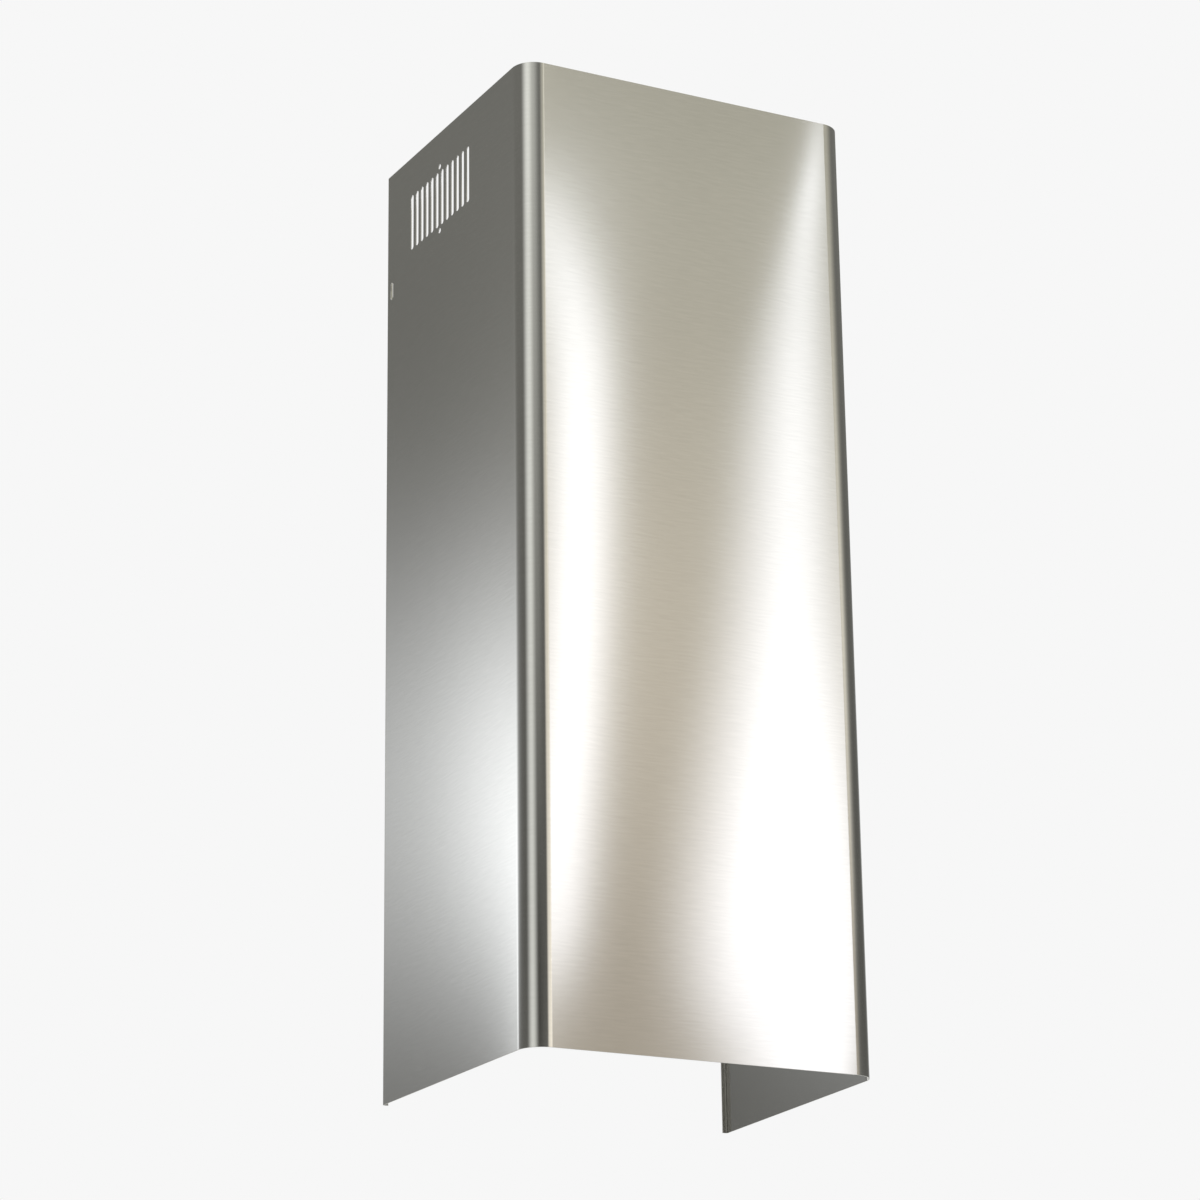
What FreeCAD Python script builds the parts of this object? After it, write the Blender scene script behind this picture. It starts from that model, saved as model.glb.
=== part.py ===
"""Cooker hood chimney section: one stainless sheet folded to a U, open to the wall, with vented sides.

Frame: X across the front, +Y towards the wall, +Z up, origin in the middle of the foot.
"""
import FreeCAD, Part
import math
import os
import Sketcher

# Driving sizes in millimetres, angles in degrees
SIZES = {
    "cover_height": 840.0,
    "front_width": 312.0,
    "cover_depth": 265.0,
    "sheet_gauge": 0.8,
    "front_bend_radius": 20.0,
    "side_splay": 1.5,
    "return_width": 5.0,
    "return_inside_radius": 0.8,
    "vent_count": 12,
    "vent_pitch": 10.0,
    "vent_width": 5.0,
    "vent_length": 52.0,
    "vent_top_margin": 37.0,
    "vent_rear_inset": 51.0,
    "grille_hole_diameter": 4.5,
    "grille_hole_web": 2.25,
    "bracket_slot_width": 5.0,
    "bracket_slot_length": 16.0,
    "bracket_slot_top_margin": 105.0,
    "bracket_slot_rear_inset": 9.5,
}

# A sketch element's points are numbered from one; the origin is the start of the level axis
START, END, CENTRE = range(1, 4)
ORIGIN = (-1, START)
UPRIGHT_AXIS = ORIGIN[0] - 1

# Quarter turns, in degrees, at which the arcs of a section start and end
FRONT, RIGHT, REAR, LEFT, FULL_TURN_RIGHT = -90, 0, 90, 180, 360

doc = FreeCAD.newDocument("chimney_section")
sheet = doc.addObject("Spreadsheet::Sheet", "sizes")
for row, (alias, value) in enumerate(SIZES.items(), start=1):
    sheet.set(f"A{row}", alias)
    sheet.set(f"B{row}", str(value))
    sheet.setAlias(f"B{row}", alias)
doc.recompute()


def size(alias):
    return float(sheet.get(alias))


def origin_feature(body, role):
    return next(feature for feature in body.Origin.OriginFeatures if feature.Role == role)


def new_sketch(body, name, plane):
    sketch = body.newObject("Sketcher::SketchObject", name)
    sketch.AttachmentSupport = [(origin_feature(body, plane), "")]
    sketch.MapMode = "FlatFace"
    return sketch


def line(first, last):
    return Part.LineSegment(FreeCAD.Vector(*first, 0), FreeCAD.Vector(*last, 0))


def arc(centre, radius, first, last):
    circle = Part.Circle(FreeCAD.Vector(*centre, 0), FreeCAD.Vector(0, 0, 1), radius)
    return Part.ArcOfCircle(circle, math.radians(first), math.radians(last))


def relate(sketch, kind, *references):
    sketch.addConstraint(Sketcher.Constraint(kind, *references))


def dimension(sketch, name, formula, kind, *references):
    """One named dimension, bound to the sheet by its formula."""
    value = sketch.evalExpression(formula)
    if kind == "Angle":
        value = math.radians(value)
    index = sketch.addConstraint(Sketcher.Constraint(kind, *references, value))
    sketch.renameConstraint(index, name)
    sketch.setExpression(f"Constraints.{name}", formula)


def draw_half_section(body):
    """Right half of the folded sheet seen from above; drawn square, then opened by the splay angle."""
    sketch = new_sketch(body, "half_section", "XY_Plane")
    gauge = size("sheet_gauge")
    side = size("front_width") / 2
    rear = size("cover_depth") / 2
    front = -rear
    radius = size("front_bend_radius")
    small = size("return_inside_radius")
    front_bend = (side - radius, front + radius)
    rear_bend = (side - gauge - small, rear - gauge - small)
    tip = side - size("return_width")

    front_outside = sketch.addGeometry(line((0, front), (front_bend[0], front)))
    front_arc_outside = sketch.addGeometry(arc(front_bend, radius, FRONT, RIGHT))
    wall_outside = sketch.addGeometry(line((side, front_bend[1]), (side, rear_bend[1])))
    rear_arc_outside = sketch.addGeometry(arc(rear_bend, small + gauge, RIGHT, REAR))
    return_outside = sketch.addGeometry(line((rear_bend[0], rear), (tip, rear)))
    return_tip = sketch.addGeometry(line((tip, rear), (tip, rear - gauge)))
    return_inside = sketch.addGeometry(line((tip, rear - gauge), (rear_bend[0], rear - gauge)))
    rear_arc_inside = sketch.addGeometry(arc(rear_bend, small, RIGHT, REAR))
    wall_inside = sketch.addGeometry(line((side - gauge, rear_bend[1]), (side - gauge, front_bend[1])))
    front_arc_inside = sketch.addGeometry(arc(front_bend, radius - gauge, FRONT, RIGHT))
    front_inside = sketch.addGeometry(line((front_bend[0], front + gauge), (0, front + gauge)))
    middle_cut = sketch.addGeometry(line((0, front + gauge), (0, front)))

    relate(sketch, "Tangent", front_outside, END, front_arc_outside, START)
    relate(sketch, "Tangent", front_arc_outside, END, wall_outside, START)
    relate(sketch, "Tangent", wall_outside, END, rear_arc_outside, START)
    relate(sketch, "Tangent", rear_arc_outside, END, return_outside, START)
    relate(sketch, "Coincident", return_outside, END, return_tip, START)
    relate(sketch, "Coincident", return_tip, END, return_inside, START)
    relate(sketch, "Tangent", return_inside, END, rear_arc_inside, END)
    relate(sketch, "Tangent", rear_arc_inside, START, wall_inside, START)
    relate(sketch, "Tangent", wall_inside, END, front_arc_inside, END)
    relate(sketch, "Tangent", front_arc_inside, START, front_inside, START)
    relate(sketch, "Coincident", front_inside, END, middle_cut, START)
    relate(sketch, "Coincident", middle_cut, END, front_outside, START)
    relate(sketch, "Coincident", front_arc_outside, CENTRE, front_arc_inside, CENTRE)
    relate(sketch, "Coincident", rear_arc_outside, CENTRE, rear_arc_inside, CENTRE)
    for level in (front_outside, front_inside, return_outside, return_inside):
        relate(sketch, "Horizontal", level)
    for upright in (return_tip, middle_cut):
        relate(sketch, "Vertical", upright)
    relate(sketch, "PointOnObject", front_outside, START, UPRIGHT_AXIS)

    half_flat = "sizes.front_width / 2 - sizes.front_bend_radius"
    dimension(sketch, "half_flat", half_flat, "DistanceX", *ORIGIN, front_outside, END)
    dimension(sketch, "to_front", "sizes.cover_depth / 2", "DistanceY", front_outside, START, *ORIGIN)
    dimension(sketch, "to_rear", "sizes.cover_depth / 2", "DistanceY", *ORIGIN, return_outside, START)
    dimension(sketch, "front_bend", "sizes.front_bend_radius", "Radius", front_arc_outside)
    dimension(sketch, "front_gauge", "sizes.sheet_gauge", "DistanceY", middle_cut, END, middle_cut, START)
    dimension(sketch, "wall_angle", "90 - sizes.side_splay", "Angle", wall_outside)
    dimension(sketch, "return_bend", "sizes.return_inside_radius", "Radius", rear_arc_inside)
    dimension(sketch, "return_gauge", "sizes.sheet_gauge", "DistanceY", return_tip, END, return_tip, START)
    return_flat = "sizes.return_width - sizes.return_inside_radius - sizes.sheet_gauge"
    dimension(sketch, "return_flat", return_flat, "DistanceX", return_outside, END, rear_arc_outside, CENTRE)
    return sketch


def draw_slot(body, name, prefix):
    """One upright slot with round ends, seen from the side; its sizes are the sheet's cells of that prefix."""
    sketch = new_sketch(body, name, "YZ_Plane")
    radius = size(f"{prefix}_width") / 2
    across = size("cover_depth") / 2 - size(f"{prefix}_rear_inset")
    high = size("cover_height") - size(f"{prefix}_top_margin") - radius
    low = high - size(f"{prefix}_length") + 2 * radius

    top_end = sketch.addGeometry(arc((across, high), radius, RIGHT, LEFT))
    front_side = sketch.addGeometry(line((across - radius, high), (across - radius, low)))
    foot_end = sketch.addGeometry(arc((across, low), radius, LEFT, FULL_TURN_RIGHT))
    rear_side = sketch.addGeometry(line((across + radius, low), (across + radius, high)))
    relate(sketch, "Tangent", top_end, END, front_side, START)
    relate(sketch, "Tangent", front_side, END, foot_end, START)
    relate(sketch, "Tangent", foot_end, END, rear_side, START)
    relate(sketch, "Tangent", rear_side, END, top_end, START)
    relate(sketch, "Vertical", front_side)
    relate(sketch, "Equal", top_end, foot_end)

    place = f"sizes.cover_depth / 2 - sizes.{prefix}_rear_inset"
    top = f"sizes.cover_height - sizes.{prefix}_top_margin - sizes.{prefix}_width / 2"
    dimension(sketch, "end_radius", f"sizes.{prefix}_width / 2", "Radius", top_end)
    dimension(sketch, "place", place, "DistanceX", *ORIGIN, top_end, CENTRE)
    dimension(sketch, "top", top, "DistanceY", *ORIGIN, top_end, CENTRE)
    span = f"sizes.{prefix}_length - sizes.{prefix}_width"
    dimension(sketch, "span", span, "DistanceY", foot_end, CENTRE, top_end, CENTRE)
    return sketch


def draw_grille_holes(body):
    """Two round holes on the middle line of the vent block, one above it and one below."""
    sketch = new_sketch(body, "grille_holes", "YZ_Plane")
    half_block = "(sizes.vent_count - 1) * sizes.vent_pitch / 2"
    middle = f"sizes.cover_depth / 2 - sizes.vent_rear_inset - {half_block}"
    beyond = "(sizes.grille_hole_web + sizes.grille_hole_diameter / 2)"
    block_top = "sizes.cover_height - sizes.vent_top_margin"
    heights = {
        "upper": f"{block_top} + {beyond}",
        "lower": f"{block_top} - sizes.vent_length - {beyond}",
    }
    normal = FreeCAD.Vector(0, 0, 1)
    for name, height in heights.items():
        centre = FreeCAD.Vector(sketch.evalExpression(middle), sketch.evalExpression(height), 0)
        hole = sketch.addGeometry(Part.Circle(centre, normal, size("grille_hole_diameter") / 2))
        dimension(sketch, f"{name}_radius", "sizes.grille_hole_diameter / 2", "Radius", hole)
        dimension(sketch, f"{name}_place", middle, "DistanceX", *ORIGIN, hole, CENTRE)
        dimension(sketch, f"{name}_height", height, "DistanceY", *ORIGIN, hole, CENTRE)
    return sketch


def cut_both_walls(body, name, sketch):
    """A cut along X, from the middle plane out through the left and the right wall alike."""
    pocket = body.newObject("PartDesign::Pocket", name)
    pocket.Profile = sketch
    pocket.Type = "ThroughAll"
    pocket.SideType = "Symmetric"
    doc.recompute()
    return pocket


def repeat_vents(body, pocket):
    """The vent slots follow each other from the rear of the wall towards the front."""
    pattern = body.newObject("PartDesign::LinearPattern", "vent_row")
    pattern.Originals = [pocket]
    pattern.Direction = (origin_feature(body, "Y_Axis"), [""])
    pattern.Reversed = True
    pattern.Mode = "Spacing"
    pattern.setExpression("Offset", "sizes.vent_pitch")
    pattern.setExpression("Occurrences", "sizes.vent_count")
    body.Tip = pattern
    doc.recompute()


def build_section():
    body = doc.addObject("PartDesign::Body", "chimney_section")
    body.Label = "chimney_section"

    half = body.newObject("PartDesign::Pad", "half_sheet")
    half.Profile = draw_half_section(body)
    half.setExpression("Length", "sizes.cover_height")
    doc.recompute()

    whole = body.newObject("PartDesign::Mirrored", "whole_sheet")
    whole.Originals = [half]
    whole.MirrorPlane = (origin_feature(body, "YZ_Plane"), [""])
    body.Tip = whole
    doc.recompute()

    vent = cut_both_walls(body, "vent_slot", draw_slot(body, "vent_outline", "vent"))
    repeat_vents(body, vent)
    cut_both_walls(body, "grille_hole_pair", draw_grille_holes(body))
    cut_both_walls(body, "bracket_slot", draw_slot(body, "bracket_outline", "bracket_slot"))
    return body


def check_document(body):
    doc.recompute()
    failed = [item.Name for item in doc.Objects if {"Invalid", "Error"} & set(item.State)]
    if failed:
        raise RuntimeError(f"features failed: {failed}")
    if body.Shape.isNull() or not body.Shape.isValid() or len(body.Shape.Solids) != 1:
        raise RuntimeError("the folded sheet is not one valid solid")
    loose = [item.Name for item in doc.Objects
             if item.isDerivedFrom("Sketcher::SketchObject") and not item.FullyConstrained]
    if loose:
        raise RuntimeError(f"sketches not fully constrained: {loose}")


section = build_section()
check_document(section)
os.makedirs("parts", exist_ok=True)
section.Shape.exportStep(f"parts/{section.Label}.step")
box = section.Shape.BoundBox
print(f"{section.Label}: {box.XLength:.2f} x {box.YLength:.2f} x {box.ZLength:.2f} mm, "
      f"{section.Shape.Volume / 1000:.2f} cm3, {len(section.Shape.Faces)} faces")
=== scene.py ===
import math
from typing import NamedTuple

import bmesh
import bpy
from mathutils import Matrix, Vector


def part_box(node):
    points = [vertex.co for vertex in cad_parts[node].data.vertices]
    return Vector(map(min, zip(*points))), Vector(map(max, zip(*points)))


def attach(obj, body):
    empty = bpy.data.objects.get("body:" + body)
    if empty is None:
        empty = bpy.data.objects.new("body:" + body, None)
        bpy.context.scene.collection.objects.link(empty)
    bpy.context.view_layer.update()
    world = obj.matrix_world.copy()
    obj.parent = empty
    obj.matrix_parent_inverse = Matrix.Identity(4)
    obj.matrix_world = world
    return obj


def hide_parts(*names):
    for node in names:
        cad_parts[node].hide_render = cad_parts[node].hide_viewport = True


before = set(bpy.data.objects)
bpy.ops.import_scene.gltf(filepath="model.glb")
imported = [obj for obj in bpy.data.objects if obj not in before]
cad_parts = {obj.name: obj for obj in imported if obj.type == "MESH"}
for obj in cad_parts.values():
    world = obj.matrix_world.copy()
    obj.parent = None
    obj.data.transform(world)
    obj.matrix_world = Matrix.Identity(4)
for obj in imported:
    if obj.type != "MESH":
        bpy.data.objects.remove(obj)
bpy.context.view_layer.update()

# Sizes of the folded sheet, in metres and radians
NODE = "chimney_section"
BODY = "root"
SHEET_LOW, SHEET_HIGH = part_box(NODE)
HEIGHT = SHEET_HIGH.z - SHEET_LOW.z
FRONT_WIDTH = 0.312
GAUGE = 0.0008
FRONT_BEND_RADIUS = 0.020
SIDE_SPLAY = math.radians(1.5)
RETURN_WIDTH = 0.005
RETURN_BEND_INSIDE = 0.0008
RETURN_BEND_RADIUS = RETURN_BEND_INSIDE + GAUGE
RIGHT_ANGLE = math.radians(90)
HALF = 0.5

# Cut-outs in each side wall
VENT_COUNT = 12
VENT_PITCH = 0.010
VENT_WIDTH = 0.005
VENT_LENGTH = 0.052
VENT_TOP_MARGIN = 0.037
VENT_REAR_INSET = 0.051
GRILLE_HOLE_DIAMETER = 0.0045
GRILLE_HOLE_WEB = 0.00225
BRACKET_SLOT_WIDTH = 0.005
BRACKET_SLOT_LENGTH = 0.016
BRACKET_SLOT_TOP_MARGIN = 0.105
BRACKET_SLOT_REAR_INSET = 0.0095

# Fineness of the mesh
FRONT_BEND_STEPS = 24
RETURN_BEND_STEPS = 6
HOLE_STEPS = 24
SHOULDER = 0.0006
EDGE_ROUND = 0.00012
EDGE_STEPS = 2
SNAP = 0.000001

# The wall runs between its two bends; the splay shortens the front one and lengthens the rear one
WALL_FRONT_Y = SHEET_LOW.y + FRONT_BEND_RADIUS * (1 - math.sin(SIDE_SPLAY))
WALL_REAR_Y = SHEET_HIGH.y - RETURN_BEND_RADIUS * (1 + math.sin(SIDE_SPLAY))
WALL_RUN = (WALL_REAR_Y - WALL_FRONT_Y) / math.cos(SIDE_SPLAY)
FRONT_HALF = FRONT_WIDTH / 2 - FRONT_BEND_RADIUS
FRONT_TURN = RIGHT_ANGLE - SIDE_SPLAY
RETURN_TURN = RIGHT_ANGLE + SIDE_SPLAY
FRONT_BEND_RUN = FRONT_BEND_RADIUS * FRONT_TURN
RETURN_BEND_RUN = RETURN_BEND_RADIUS * RETURN_TURN
RETURN_FLAT = RETURN_WIDTH - RETURN_BEND_RADIUS

# Runs of the outer skin from the middle of the front to the return's edge: length, turn
RUNS = (
    (FRONT_HALF, 0.0),
    (FRONT_BEND_RUN, FRONT_TURN),
    (WALL_RUN, 0.0),
    (RETURN_BEND_RUN, RETURN_TURN),
    (RETURN_FLAT, 0.0),
)
BLANK_HALF = sum(length for length, turn in RUNS)
WALL_START = FRONT_HALF + FRONT_BEND_RUN
WALL_END = WALL_START + WALL_RUN

# The steel's tint, from the dark streaks of the brushing to the light ones
STEEL_DARK = (0.609, 0.600, 0.570, 1.0)
STEEL_LIGHT = (0.641, 0.631, 0.600, 1.0)

# The camera stands low at the left front and looks up
CAMERA_PLACE = Vector((-1.3675, -2.6331, -0.5816))
CAMERA_HEADING = math.radians(27.069)
CAMERA_RISE = math.radians(18.707)
CAMERA_ROLL = math.radians(-0.782)
LENS_MM = 110.38
SENSOR_MM = 36.0

# The pale room
PALE = (0.93, 0.93, 0.93)
FLOOR_COLOUR = (0.8, 0.8, 0.79, 1.0)
FLOOR_ROUGHNESS = 0.7
FLOOR_HALF = 30.0


class Card(NamedTuple):
    """An upright card on the surround: its left and right sides, their softness, its tones low and high."""

    sides: tuple
    softness: tuple
    tones: tuple
    colour: tuple


class Pool(NamedTuple):
    """A pool of light: its middle, and how far off it falls to half, left and right, below and above."""

    at: tuple
    widths: tuple
    heights: tuple
    strength: float
    colour: tuple


# Colours of the lights
COOL = (0.97, 1.0, 1.05)
FROST = (0.98, 1.0, 1.03)
CREAM = (1.0, 0.97, 0.90)
AMBER = (1.08, 0.95, 0.80)
NEUTRAL = (1.0, 1.0, 0.97)
DIM = (1.0, 1.0, 0.94)

# The surround is a ring wall; turns are in degrees from the front, positive to the right
RING_RADIUS = 1.6
RING_LOW = -0.9
RING_HIGH = 2.2
RING_END = 170.0
RING_STEPS = 120

# Heights on the ring between which a tone goes from low to high
TONE_LOW = 0.35
TONE_HIGH = 1.5

SURROUND_CARDS = (
    # The light stripe down the left bend, and its front side, which is darker at the foot
    Card(sides=(-73.0, -45.0), softness=(13.0, 13.0), tones=(0.81, 0.74), colour=(0.98, 1.0, 0.98)),
    Card(sides=(-53.0, -19.0), softness=(17.0, 17.0), tones=(-0.09, 0.48), colour=(0.98, 1.0, 0.96)),
    # Warm fill for the foot of the front panel and for its top
    Card(sides=(6.0, 41.0), softness=(9.0, 10.0), tones=(0.322, 0.0), colour=(1.06, 0.91, 0.72)),
    Card(sides=(6.0, 56.0), softness=(9.0, 20.0), tones=(0.0, 0.362), colour=(1.0, 0.965, 0.78)),
    # The bright line where the left bend meets the front panel
    Card(sides=(3.0, 17.0), softness=(5.0, 3.0), tones=(0.85, 0.05), colour=(1.0, 0.96, 0.88)),
    Card(sides=(16.0, 18.5), softness=(1.0, 1.0), tones=(0.6, 0.6), colour=(1.0, 0.97, 0.88)),
)
SURROUND_POOLS = (
    # The soft start of the right bend
    Pool(at=(36.0, 0.85), widths=(3.0, 13.0), heights=(0.35, 0.32), strength=0.34, colour=CREAM),
    Pool(at=(40.0, 0.62), widths=(5.0, 13.0), heights=(0.17, 0.45), strength=0.27, colour=CREAM),
    # The glow low on the left wall: its spread, its upper tail, its core and its edge along the bend
    Pool(at=(-149.0, 0.65), widths=(9.0, 24.0), heights=(0.27, 0.255), strength=0.55, colour=COOL),
    Pool(at=(-142.0, 0.95), widths=(3.2, 14.0), heights=(0.20, 0.35), strength=0.12, colour=NEUTRAL),
    Pool(at=(-144.2, 0.61), widths=(2.7, 12.0), heights=(0.17, 0.24), strength=0.84, colour=COOL),
    Pool(at=(-143.2, 0.35), widths=(0.9, 5.0), heights=(0.14, 0.18), strength=1.15, colour=COOL),
    # The far side of the right bend
    Pool(at=(140.0, 0.35), widths=(17.0, 17.0), heights=(0.42, 0.42), strength=1.0, colour=FROST),
)

# The softboxes share a sheet, which is laid out on the front panel and given in metres there
SOFTBOX_WIDTH = 0.40
SOFTBOX_HEIGHT = 1.10
SOFTBOX_MIDDLE = 0.40
SOFTBOX_COLUMNS = 16
SOFTBOX_ROWS = 32
SOFTBOX_REACH = 1.3
SOFTBOX_COLOUR = (0.96, 1.0, 1.12)
SOFTBOX_LEVEL = 1.38

# The bow: its furthest point to the right, how it curves below and above that, and its width
BOW_ACROSS = -0.106
BOW_UP = 0.55
BOW_RADIUS_BELOW = 3.6
BOW_RADIUS_ABOVE = 0.33
BOW_HALF_WIDTHS = (0.021, 0.024)
BOW_STRENGTH = 1.55

# The wedge: its tip, and the waist of its right side with the flare below and above it
WEDGE_TIP_START = 0.70
WEDGE_TIP_LEAN = 0.3
WEDGE_TIP_GAIN = 190.0
WEDGE_WAIST_UP = 0.47
WEDGE_WAIST_ACROSS = 0.117
WEDGE_FLARES = (1.85, 3.2)
WEDGE_WIDEST = 0.144

PANEL_POOLS = (
    # Warm light between the two softboxes
    Pool(at=(-0.045, 0.33), widths=(0.10, 0.085), heights=(0.24, 0.22), strength=0.25, colour=AMBER),
    # Faint glows beside the top of the bow, beside the tip of the wedge and beside its left side
    Pool(at=(-0.055, 0.73), widths=(0.05, 0.05), heights=(0.09, 0.06), strength=0.07, colour=CREAM),
    Pool(at=(0.068, 0.74), widths=(0.05, 0.03), heights=(0.08, 0.05), strength=0.08, colour=CREAM),
    Pool(at=(0.02, 0.53), widths=(0.028, 0.03), heights=(0.12, 0.10), strength=0.07, colour=CREAM),
)


def folded(along, inward, up):
    """A point of the flat blank, carried to its place on the folded sheet."""
    side = math.copysign(1.0, along)
    remaining = abs(along)
    corner = Vector((0.0, SHEET_LOW.y))
    heading = 0.0
    for index, (length, turn) in enumerate(RUNS):
        part = remaining if index == len(RUNS) - 1 else min(remaining, length)
        forward = Vector((math.cos(heading), math.sin(heading)))
        inside = Vector((-forward.y, forward.x))
        if turn:
            radius = length / turn
            centre = corner + inside * radius
            angle = heading + part / radius
            out = Vector((math.sin(angle), -math.cos(angle)))
            corner = centre + out * radius
            heading = angle
            inside = -out
        else:
            corner = corner + forward * part
        remaining -= part
        if remaining <= 0.0:
            break
    place = corner + inside * inward
    return Vector((side * place.x, place.y, up + SHEET_LOW.z))


def stand_up(bm, verts):
    """Turns what lies on the ground upright, facing the front."""
    bmesh.ops.rotate(bm, verts=verts, matrix=Matrix.Rotation(RIGHT_ANGLE, 3, "X"))


def add_panel(bm, columns, rows, size, middle):
    """An upright panel of a width and a height, with its middle at a place."""
    points = bmesh.ops.create_grid(bm, x_segments=columns, y_segments=rows, size=HALF)["verts"]
    width, height = size
    stand_up(bm, points)
    bmesh.ops.scale(bm, verts=points, vec=(width, 1, height))
    bmesh.ops.translate(bm, verts=points, vec=middle)


def cut_across(bm, along):
    """Cuts the blank from foot to top at a distance from its middle."""
    everything = bm.verts[:] + bm.edges[:] + bm.faces[:]
    bmesh.ops.bisect_plane(bm, geom=everything, dist=SNAP, plane_co=(along, 0, 0), plane_no=(1, 0, 0))


def bend_lines():
    """Distances from the blank's middle of the lines that each half is bent along."""
    lines = []
    start = 0.0
    for length, turn in RUNS:
        if turn:
            steps = FRONT_BEND_STEPS if turn == FRONT_TURN else RETURN_BEND_STEPS
            lines.append(start - SHOULDER)
            lines += [start + length * step / steps for step in range(steps + 1)]
            lines.append(start + length + SHOULDER)
        start += length
    return lines


def add_slot_outline(bm, along, up, width, length):
    """A slot with round ends, or a round hole where width and length are equal."""
    half_step = math.pi / HOLE_STEPS
    radius = width / 2 / math.cos(half_step)
    ring = bmesh.ops.create_circle(bm, segments=HOLE_STEPS, radius=radius)["verts"]
    bmesh.ops.rotate(bm, verts=ring, matrix=Matrix.Rotation(half_step, 3, "Z"))
    stand_up(bm, ring)
    reach = (length - width) / 2
    for vert in ring:
        vert.co.z += math.copysign(reach, vert.co.z)
    bmesh.ops.translate(bm, verts=ring, vec=(along, 0, up))
    return list(dict.fromkeys(edge for vert in ring for edge in vert.link_edges))


def wall_distance(rear_inset):
    """Distance along the blank from its middle to a place on the wall, given from the rear plane."""
    return WALL_START + (SHEET_HIGH.y - rear_inset - WALL_FRONT_Y) / math.cos(SIDE_SPLAY)


def add_wall_outlines(bm, side):
    """Outlines of the vents, the grille holes and the bracket slot of one wall."""
    edges = []
    vent_middle = HEIGHT - VENT_TOP_MARGIN - VENT_LENGTH / 2
    for vent in range(VENT_COUNT):
        along = wall_distance(VENT_REAR_INSET + vent * VENT_PITCH)
        edges += add_slot_outline(bm, side * along, vent_middle, VENT_WIDTH, VENT_LENGTH)
    grille_inset = VENT_REAR_INSET + VENT_PITCH * (VENT_COUNT - 1) / 2
    grille_reach = VENT_LENGTH / 2 + GRILLE_HOLE_WEB + GRILLE_HOLE_DIAMETER / 2
    for reach in (grille_reach, -grille_reach):
        along = side * wall_distance(grille_inset)
        edges += add_slot_outline(bm, along, vent_middle + reach, GRILLE_HOLE_DIAMETER, GRILLE_HOLE_DIAMETER)
    bracket_middle = HEIGHT - BRACKET_SLOT_TOP_MARGIN - BRACKET_SLOT_LENGTH / 2
    bracket_along = side * wall_distance(BRACKET_SLOT_REAR_INSET)
    edges += add_slot_outline(bm, bracket_along, bracket_middle, BRACKET_SLOT_WIDTH, BRACKET_SLOT_LENGTH)
    return edges


def cut_out_wall(bm, side):
    """Puts a face with its cut-outs in the place of one wall's plain face."""
    middle = side * (WALL_START + WALL_END) / 2
    plain = min(bm.faces, key=lambda face: abs(face.calc_center_median().x - middle))
    edges = list(plain.edges)
    bmesh.ops.delete(bm, geom=[plain], context="FACES_ONLY")
    edges += add_wall_outlines(bm, side)
    bmesh.ops.triangle_fill(bm, use_beauty=True, edges=edges, normal=(0, -1, 0))


def lies_flat(face):
    """Whether a face of the blank is skin and not the edge of the sheet."""
    return abs(face.normal.y) > math.sin(RIGHT_ANGLE / 2)


def divides(edge, belongs):
    """Whether an edge lies between a face that belongs and one that doesn't."""
    return len({belongs(face) for face in edge.link_faces}) > 1


def round_cut_edges(bm):
    """Takes the burr off every cut edge and keeps the skin's shading flat up to it."""
    rims = [edge for edge in bm.edges if divides(edge, lies_flat)]
    rounded = bmesh.ops.bevel(
        bm,
        geom=rims,
        offset=EDGE_ROUND,
        affect="EDGES",
        segments=EDGE_STEPS,
        profile=0.5,
        material=-1,
    )["faces"]
    border = set(rounded)
    for face in bm.faces:
        face.smooth = True
    for edge in bm.edges:
        edge.smooth = not divides(edge, lambda face: face in border)


def keep_flat_map(bm, name):
    """Keeps each point's place across and up, as it is now, in a map of that name."""
    layer = bm.loops.layers.uv.new(name)
    for face in bm.faces:
        for loop in face.loops:
            loop[layer].uv = (loop.vert.co.x, loop.vert.co.z)


def new_object(name, bm, material):
    """An object of one material in the scene."""
    mesh = bpy.data.meshes.new(name)
    bm.to_mesh(mesh)
    bm.free()
    mesh.materials.append(material)
    made = bpy.data.objects.new(name, mesh)
    bpy.context.scene.collection.objects.link(made)
    return made


def add_blank(bm):
    """The flat blank, upright, with the cut-outs of both walls and the lines that it is bent along."""
    add_panel(bm, columns=1, rows=1, size=(2 * BLANK_HALF, HEIGHT), middle=(0, 0, HEIGHT / 2))
    for side in (-1, 1):
        cut_across(bm, side * WALL_START)
        cut_across(bm, side * WALL_END)
    for side in (-1, 1):
        cut_out_wall(bm, side)
    for line in bend_lines():
        cut_across(bm, line)
        cut_across(bm, -line)


def make_sheet():
    """The section, cut flat from sheet and folded."""
    bm = bmesh.new()
    add_blank(bm)
    thick = bmesh.ops.extrude_face_region(bm, geom=bm.faces[:], use_keep_orig=True)["geom"]
    inner = [item for item in thick if isinstance(item, bmesh.types.BMVert)]
    bmesh.ops.translate(bm, verts=inner, vec=(0, GAUGE, 0))
    bmesh.ops.recalc_face_normals(bm, faces=bm.faces[:])
    round_cut_edges(bm)
    keep_flat_map(bm, "blank")
    for vert in bm.verts:
        vert.co = folded(*vert.co)
    return new_object("folded_sheet", bm, brushed_steel())


def set_sockets(made, **values):
    """Sets a shader node's sockets by name."""
    for name, value in values.items():
        made.inputs[name.replace("_", " ")].default_value = value


def node(tree, kind, **values):
    """A shader node with its sockets set by name."""
    made = tree.nodes.new(kind)
    set_sockets(made, **values)
    return made


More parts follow.
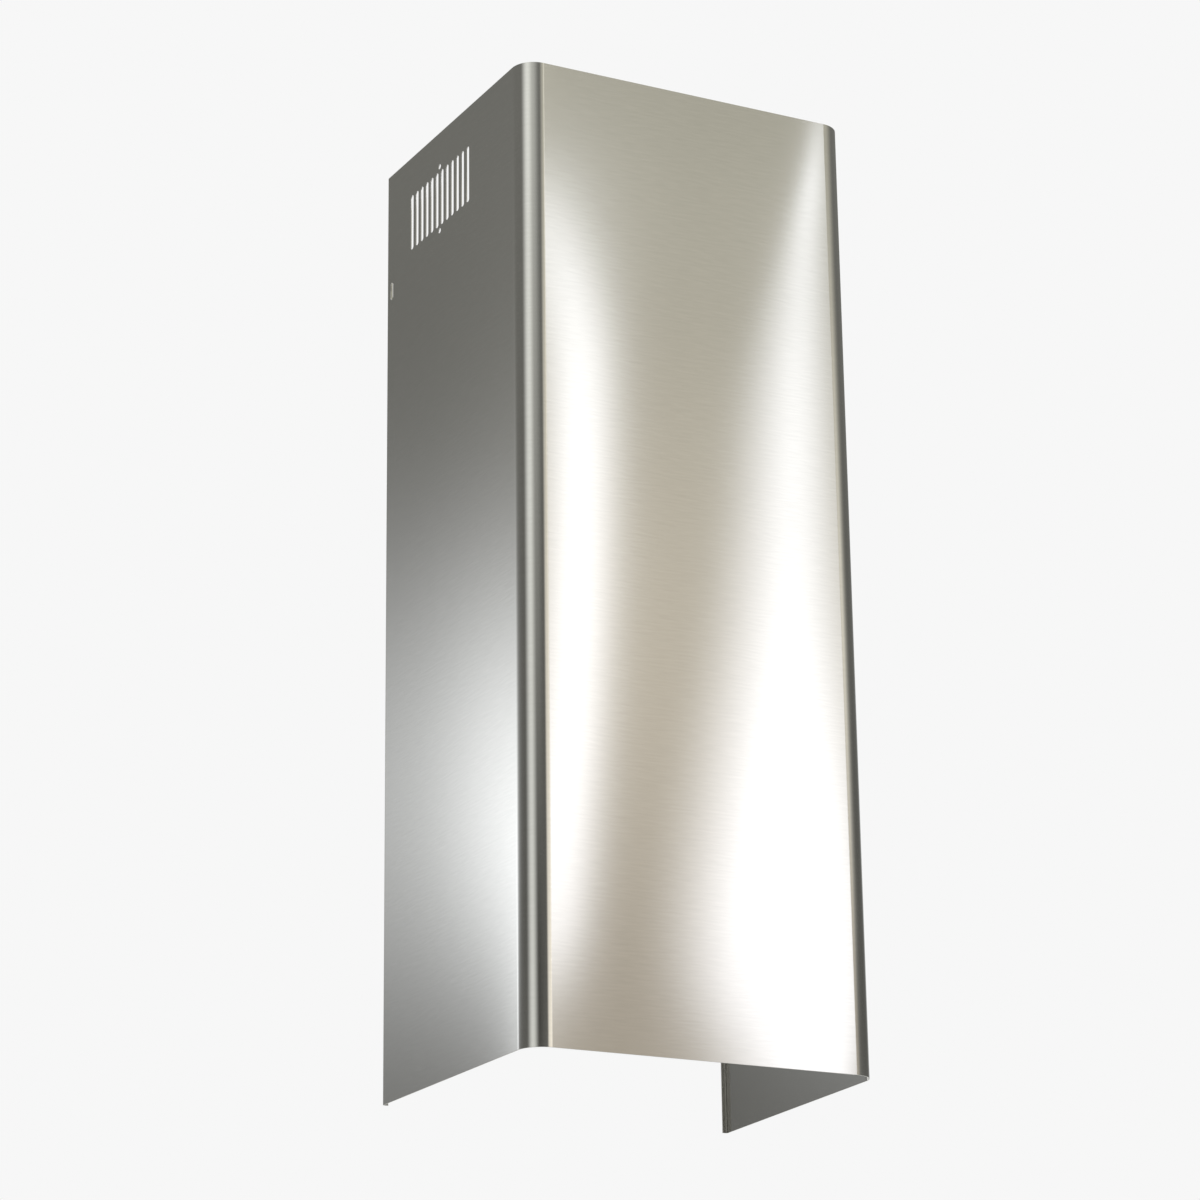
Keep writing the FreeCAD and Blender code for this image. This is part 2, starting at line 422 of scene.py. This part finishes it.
def grain(tree, places, lengthwise, crosswise):
    """Streaks that run across the sheet, given as how many fit in a metre each way."""
    scaled = node(tree, "ShaderNodeMapping", Scale=(lengthwise, crosswise, 1.0))
    streaks = node(tree, "ShaderNodeTexNoise", Scale=1.0, Detail=2.0, Roughness=0.6)
    tree.links.new(places, scaled.inputs["Vector"])
    tree.links.new(scaled.outputs["Vector"], streaks.inputs["Vector"])
    return streaks.outputs["Fac"]


def span(tree, source, low, high):
    """A pattern that runs from 0.3 to 0.7, stretched to a range."""
    made = node(tree, "ShaderNodeMapRange", From_Min=0.3, From_Max=0.7, To_Min=low, To_Max=high)
    tree.links.new(source, made.inputs["Value"])
    return made.outputs["Result"]


def brushed_steel():
    """Stainless sheet brushed across its width, so that lights smear up and down."""
    material = bpy.data.materials.new("brushed_steel")
    material.use_nodes = True
    tree = material.node_tree
    steel = tree.nodes["Principled BSDF"]
    set_sockets(steel, Metallic=1.0, Anisotropic=0.85, Anisotropic_Rotation=0.25)
    blank = tree.nodes.new("ShaderNodeUVMap")
    blank.uv_map = "blank"
    places = blank.outputs["UV"]
    tangent = tree.nodes.new("ShaderNodeTangent")
    tangent.direction_type = "UV_MAP"
    tangent.uv_map = "blank"
    tree.links.new(tangent.outputs["Tangent"], steel.inputs["Tangent"])
    coarse = grain(tree, places, lengthwise=48.0, crosswise=640.0)
    fine = grain(tree, places, lengthwise=60.0, crosswise=2200.0)
    cloud = grain(tree, places, lengthwise=5.0, crosswise=9.0)
    tint = tree.nodes.new("ShaderNodeMix")
    tint.data_type = "RGBA"
    set_sockets(tint, A=STEEL_DARK, B=STEEL_LIGHT)
    tree.links.new(span(tree, coarse, low=0.0, high=1.0), tint.inputs["Factor"])
    tree.links.new(tint.outputs["Result"], steel.inputs["Base Color"])
    rough = tree.nodes.new("ShaderNodeMath")
    rough.operation = "ADD"
    tree.links.new(span(tree, fine, low=0.115, high=0.125), rough.inputs[0])
    tree.links.new(span(tree, cloud, low=-0.004, high=0.004), rough.inputs[1])
    tree.links.new(rough.outputs["Value"], steel.inputs["Roughness"])
    bump = node(tree, "ShaderNodeBump", Strength=0.05, Distance=0.000005)
    tree.links.new(fine, bump.inputs["Height"])
    tree.links.new(bump.outputs["Normal"], steel.inputs["Normal"])
    return material


class Glow:
    """A material that glows; its lights are added up over two coordinates of the surface."""

    def __init__(self, name):
        self.material = bpy.data.materials.new(name)
        self.material.use_nodes = True
        self.tree = self.material.node_tree
        self.tree.nodes.remove(self.tree.nodes["Principled BSDF"])
        self.surface = self.tree.nodes["Material Output"].inputs["Surface"]
        self.across = None
        self.up = None

    def maths(self, operation, *values):
        """A calculation on sockets or plain numbers."""
        made = self.tree.nodes.new("ShaderNodeMath")
        made.operation = operation
        for slot, value in zip(made.inputs, values):
            if isinstance(value, (int, float)):
                slot.default_value = value
            else:
                self.tree.links.new(value, slot)
        return made.outputs["Value"]

    def fade(self, source, start, end, first, last, easing="SMOOTHSTEP"):
        """A value that goes from first to last as the source goes from start to end."""
        made = node(self.tree, "ShaderNodeMapRange", From_Min=start, From_Max=end, To_Min=first, To_Max=last)
        made.interpolation_type = easing
        self.tree.links.new(source, made.inputs["Value"])
        return made.outputs["Result"]

    def side(self, edge, softness, first, last):
        """A value that goes from first to last across an edge, within its softness on both sides."""
        aside = self.maths("DIVIDE", self.maths("SUBTRACT", self.across, edge), softness)
        return self.fade(aside, start=-1.0, end=1.0, first=first, last=last)

    def reach(self, offset, before, after):
        """How many lengths away a place is, where the lengths on the two sides differ."""
        behind = self.maths("DIVIDE", offset, -before)
        ahead = self.maths("DIVIDE", offset, after)
        return self.maths("MAXIMUM", behind, ahead)

    def feather(self, offset, before, after):
        """A share that is whole at no offset and falls to half at the length on either side."""
        reach = self.reach(offset, before, after)
        return self.maths("POWER", HALF, self.maths("MULTIPLY", reach, reach))

    def add(self, strength, colour):
        """Adds a glow of a colour to what is there."""
        glow = node(self.tree, "ShaderNodeEmission", Color=(*colour, 1.0))
        self.tree.links.new(strength, glow.inputs["Strength"])
        shown = glow.outputs["Emission"]
        if self.surface.is_linked:
            both = self.tree.nodes.new("ShaderNodeAddShader")
            self.tree.links.new(self.surface.links[0].from_socket, both.inputs[0])
            self.tree.links.new(shown, both.inputs[1])
            shown = both.outputs["Shader"]
        self.tree.links.new(shown, self.surface)

    def tone(self, low, high):
        """A tone that changes with height."""
        return self.fade(self.up, TONE_LOW, TONE_HIGH, low, high, "LINEAR")

    def add_card(self, card):
        """Adds an upright card with soft sides."""
        left, right = card.sides
        left_softness, right_softness = card.softness
        rise = self.side(left, left_softness, first=0.0, last=1.0)
        fall = self.side(right, right_softness, first=1.0, last=0.0)
        share = self.maths("MULTIPLY", rise, fall)
        self.add(self.maths("MULTIPLY", share, self.tone(*card.tones)), card.colour)

    def add_pool(self, pool):
        """Adds a pool of light."""
        across, up = pool.at
        aside = self.feather(self.maths("SUBTRACT", self.across, across), *pool.widths)
        above = self.feather(self.maths("SUBTRACT", self.up, up), *pool.heights)
        share = self.maths("MULTIPLY", aside, above)
        self.add(self.maths("MULTIPLY", share, pool.strength), pool.colour)


def add_stage_mesh(name, bm, material):
    """A thing of the studio that shows in the steel and not to the camera."""
    thing = new_object(name, bm, material)
    thing.visible_camera = False
    thing.visible_diffuse = False
    thing.visible_shadow = False


def add_surround():
    """A dim wall round the section, brighter at the floor, with soft cards and pools of light on it."""
    bm = bmesh.new()
    end = math.radians(RING_END)
    away = Vector((math.sin(end), -math.cos(end), 0.0)) * RING_RADIUS
    foot = bm.verts.new(away + Vector((0, 0, RING_LOW)))
    top = bm.verts.new(away + Vector((0, 0, RING_HIGH)))
    edge = bm.edges.new((foot, top))
    bmesh.ops.spin(
        bm,
        geom=[foot, top, edge],
        cent=(0, 0, 0),
        axis=(0, 0, -1),
        angle=2 * end,
        steps=RING_STEPS,
    )
    wall = Glow("surround")
    place = wall.tree.nodes.new("ShaderNodeTexCoord")
    apart = wall.tree.nodes.new("ShaderNodeSeparateXYZ")
    wall.tree.links.new(place.outputs["Object"], apart.inputs["Vector"])
    forward = wall.maths("MULTIPLY", apart.outputs["Y"], -1.0)
    wall.across = wall.maths("DEGREES", wall.maths("ARCTAN2", apart.outputs["X"], forward))
    wall.up = apart.outputs["Z"]
    wall.add(wall.tone(low=0.128, high=0.218), DIM)
    wall.add(wall.fade(wall.up, start=0.0, end=0.28, first=0.55, last=0.0), NEUTRAL)
    for card in SURROUND_CARDS:
        wall.add_card(card)
    for pool in SURROUND_POOLS:
        wall.add_pool(pool)
    add_stage_mesh("surround", bm, wall.material)


def light_bow(glow):
    """A slim bowed softbox, feathered across; it draws the streak on the left of the panel."""
    above = glow.maths("SUBTRACT", glow.up, BOW_UP)
    turn = glow.reach(above, math.sqrt(2 * BOW_RADIUS_BELOW), math.sqrt(2 * BOW_RADIUS_ABOVE))
    sag = glow.maths("MULTIPLY", turn, turn)
    aside = glow.maths("ADD", glow.maths("SUBTRACT", glow.across, BOW_ACROSS), sag)
    share = glow.feather(aside, *BOW_HALF_WIDTHS)
    foot = glow.fade(glow.up, start=0.015, end=0.10, first=0.0, last=1.0)
    head = glow.fade(glow.up, start=0.69, end=0.755, first=1.0, last=0.0)
    share = glow.maths("MULTIPLY", share, glow.maths("MULTIPLY", foot, head))
    strength = glow.maths("MINIMUM", glow.maths("MULTIPLY", share, BOW_STRENGTH), SOFTBOX_LEVEL)
    glow.add(strength, SOFTBOX_COLOUR)


def wedge_left_side(glow, tip):
    """The wedge's left side leans right, is cut back at the foot, and sharpens towards the top."""
    edge = glow.fade(glow.up, start=0.116, end=0.816, first=0.0125, last=0.1245, easing="LINEAR")
    edge = glow.maths("MULTIPLY_ADD", tip, WEDGE_TIP_LEAN, edge)
    edge = glow.maths("ADD", edge, glow.fade(glow.up, start=-0.03, end=0.07, first=0.05, last=0.0))
    softness = glow.fade(glow.up, start=0.60, end=0.81, first=0.062, last=0.007, easing="LINEAR")
    softness = glow.maths("ADD", softness, glow.fade(glow.up, start=0.10, end=0.45, first=0.016, last=0.0))
    return glow.side(edge, softness, first=0.0, last=1.0)


def wedge_right_side(glow):
    """The wedge's right side has a waist, is cut back at the foot, and is sharp at the foot and the top."""
    above = glow.maths("SUBTRACT", glow.up, WEDGE_WAIST_UP)
    flare = glow.reach(above, *WEDGE_FLARES)
    edge = glow.maths("MULTIPLY_ADD", flare, flare, WEDGE_WAIST_ACROSS)
    edge = glow.maths("MINIMUM", edge, WEDGE_WIDEST)
    edge = glow.maths("ADD", edge, glow.fade(glow.up, start=-0.03, end=0.05, first=-0.018, last=0.0))
    top_softness = glow.fade(glow.up, start=0.36, end=0.82, first=0.048, last=0.007, easing="LINEAR")
    foot_softness = glow.fade(glow.up, start=0.16, end=0.34, first=0.008, last=0.048)
    return glow.side(edge, glow.maths("MINIMUM", top_softness, foot_softness), first=1.0, last=0.0)


def light_wedge(glow):
    """A large softbox that narrows to a bright tip at the top; it lights the right of the panel."""
    tip = glow.maths("MAXIMUM", glow.maths("SUBTRACT", glow.up, WEDGE_TIP_START), 0.0)
    tip = glow.maths("MULTIPLY", tip, tip)
    share = glow.maths("MULTIPLY", wedge_left_side(glow, tip), wedge_right_side(glow))
    head = glow.fade(glow.up, start=0.83, end=0.88, first=1.0, last=0.0)
    share = glow.maths("MULTIPLY", share, head)
    strength = glow.fade(glow.up, start=0.12, end=0.36, first=2.1, last=1.66, easing="LINEAR")
    strength = glow.maths("ADD", strength, glow.fade(glow.up, start=0.42, end=0.60, first=0.0, last=0.40))
    strength = glow.maths("MINIMUM", glow.maths("MULTIPLY", share, strength), SOFTBOX_LEVEL)
    gain = glow.maths("MULTIPLY_ADD", tip, WEDGE_TIP_GAIN, 1.0)
    glow.add(glow.maths("MULTIPLY", strength, gain), SOFTBOX_COLOUR)


def add_softboxes():
    """Feathered softboxes, drawn on the front panel and set where the camera sees them mirrored there."""
    bm = bmesh.new()
    middle = (0, SHEET_LOW.y, SOFTBOX_MIDDLE)
    add_panel(bm, SOFTBOX_COLUMNS, SOFTBOX_ROWS, size=(SOFTBOX_WIDTH, SOFTBOX_HEIGHT), middle=middle)
    keep_flat_map(bm, "panel")
    for vert in bm.verts:
        ray = (vert.co - CAMERA_PLACE).normalized()
        vert.co += ray.reflect(Vector((0, -1, 0))) * SOFTBOX_REACH
    glow = Glow("softboxes")
    clear = glow.tree.nodes.new("ShaderNodeBsdfTransparent")
    glow.tree.links.new(clear.outputs["BSDF"], glow.surface)
    place = glow.tree.nodes.new("ShaderNodeUVMap")
    place.uv_map = "panel"
    apart = glow.tree.nodes.new("ShaderNodeSeparateXYZ")
    glow.tree.links.new(place.outputs["UV"], apart.inputs["Vector"])
    glow.across = apart.outputs["X"]
    glow.up = apart.outputs["Y"]
    light_bow(glow)
    light_wedge(glow)
    for pool in PANEL_POOLS:
        glow.add_pool(pool)
    add_stage_mesh("softboxes", bm, glow.material)


def pale_floor():
    """Matt pale paint that is clear when it is seen from below."""
    material = bpy.data.materials.new("pale_floor")
    material.use_nodes = True
    tree = material.node_tree
    paint = tree.nodes["Principled BSDF"]
    set_sockets(paint, Base_Color=FLOOR_COLOUR, Roughness=FLOOR_ROUGHNESS)
    clear = tree.nodes.new("ShaderNodeBsdfTransparent")
    face = tree.nodes.new("ShaderNodeNewGeometry")
    mix = tree.nodes.new("ShaderNodeMixShader")
    tree.links.new(face.outputs["Backfacing"], mix.inputs["Fac"])
    tree.links.new(paint.outputs["BSDF"], mix.inputs[1])
    tree.links.new(clear.outputs["BSDF"], mix.inputs[2])
    tree.links.new(mix.outputs["Shader"], tree.nodes["Material Output"].inputs["Surface"])
    return material


def add_floor():
    """A pale floor that shows from above only."""
    bm = bmesh.new()
    bmesh.ops.create_grid(bm, x_segments=1, y_segments=1, size=FLOOR_HALF)
    floor = new_object("floor", bm, pale_floor())


def add_world():
    """Even pale surroundings."""
    world = bpy.data.worlds.new("pale_studio")
    world.use_nodes = True
    set_sockets(world.node_tree.nodes["Background"], Color=(*PALE, 1.0))
    bpy.context.scene.world = world


def add_camera():
    """The camera, low at the left front and looking up."""
    lens = bpy.data.cameras.new("camera")
    lens.lens = LENS_MM
    lens.sensor_width = SENSOR_MM
    camera = bpy.data.objects.new("camera", lens)
    camera.matrix_world = (
        Matrix.Translation(CAMERA_PLACE)
        @ Matrix.Rotation(-CAMERA_HEADING, 4, "Z")
        @ Matrix.Rotation(RIGHT_ANGLE + CAMERA_RISE, 4, "X")
        @ Matrix.Rotation(CAMERA_ROLL, 4, "Z")
    )
    bpy.context.scene.collection.objects.link(camera)
    bpy.context.scene.camera = camera


sheet = make_sheet()
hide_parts(NODE)
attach(sheet, BODY)

add_world()
add_floor()
add_surround()
add_softboxes()
add_camera()
bpy.context.scene.view_settings.view_transform = "Standard"
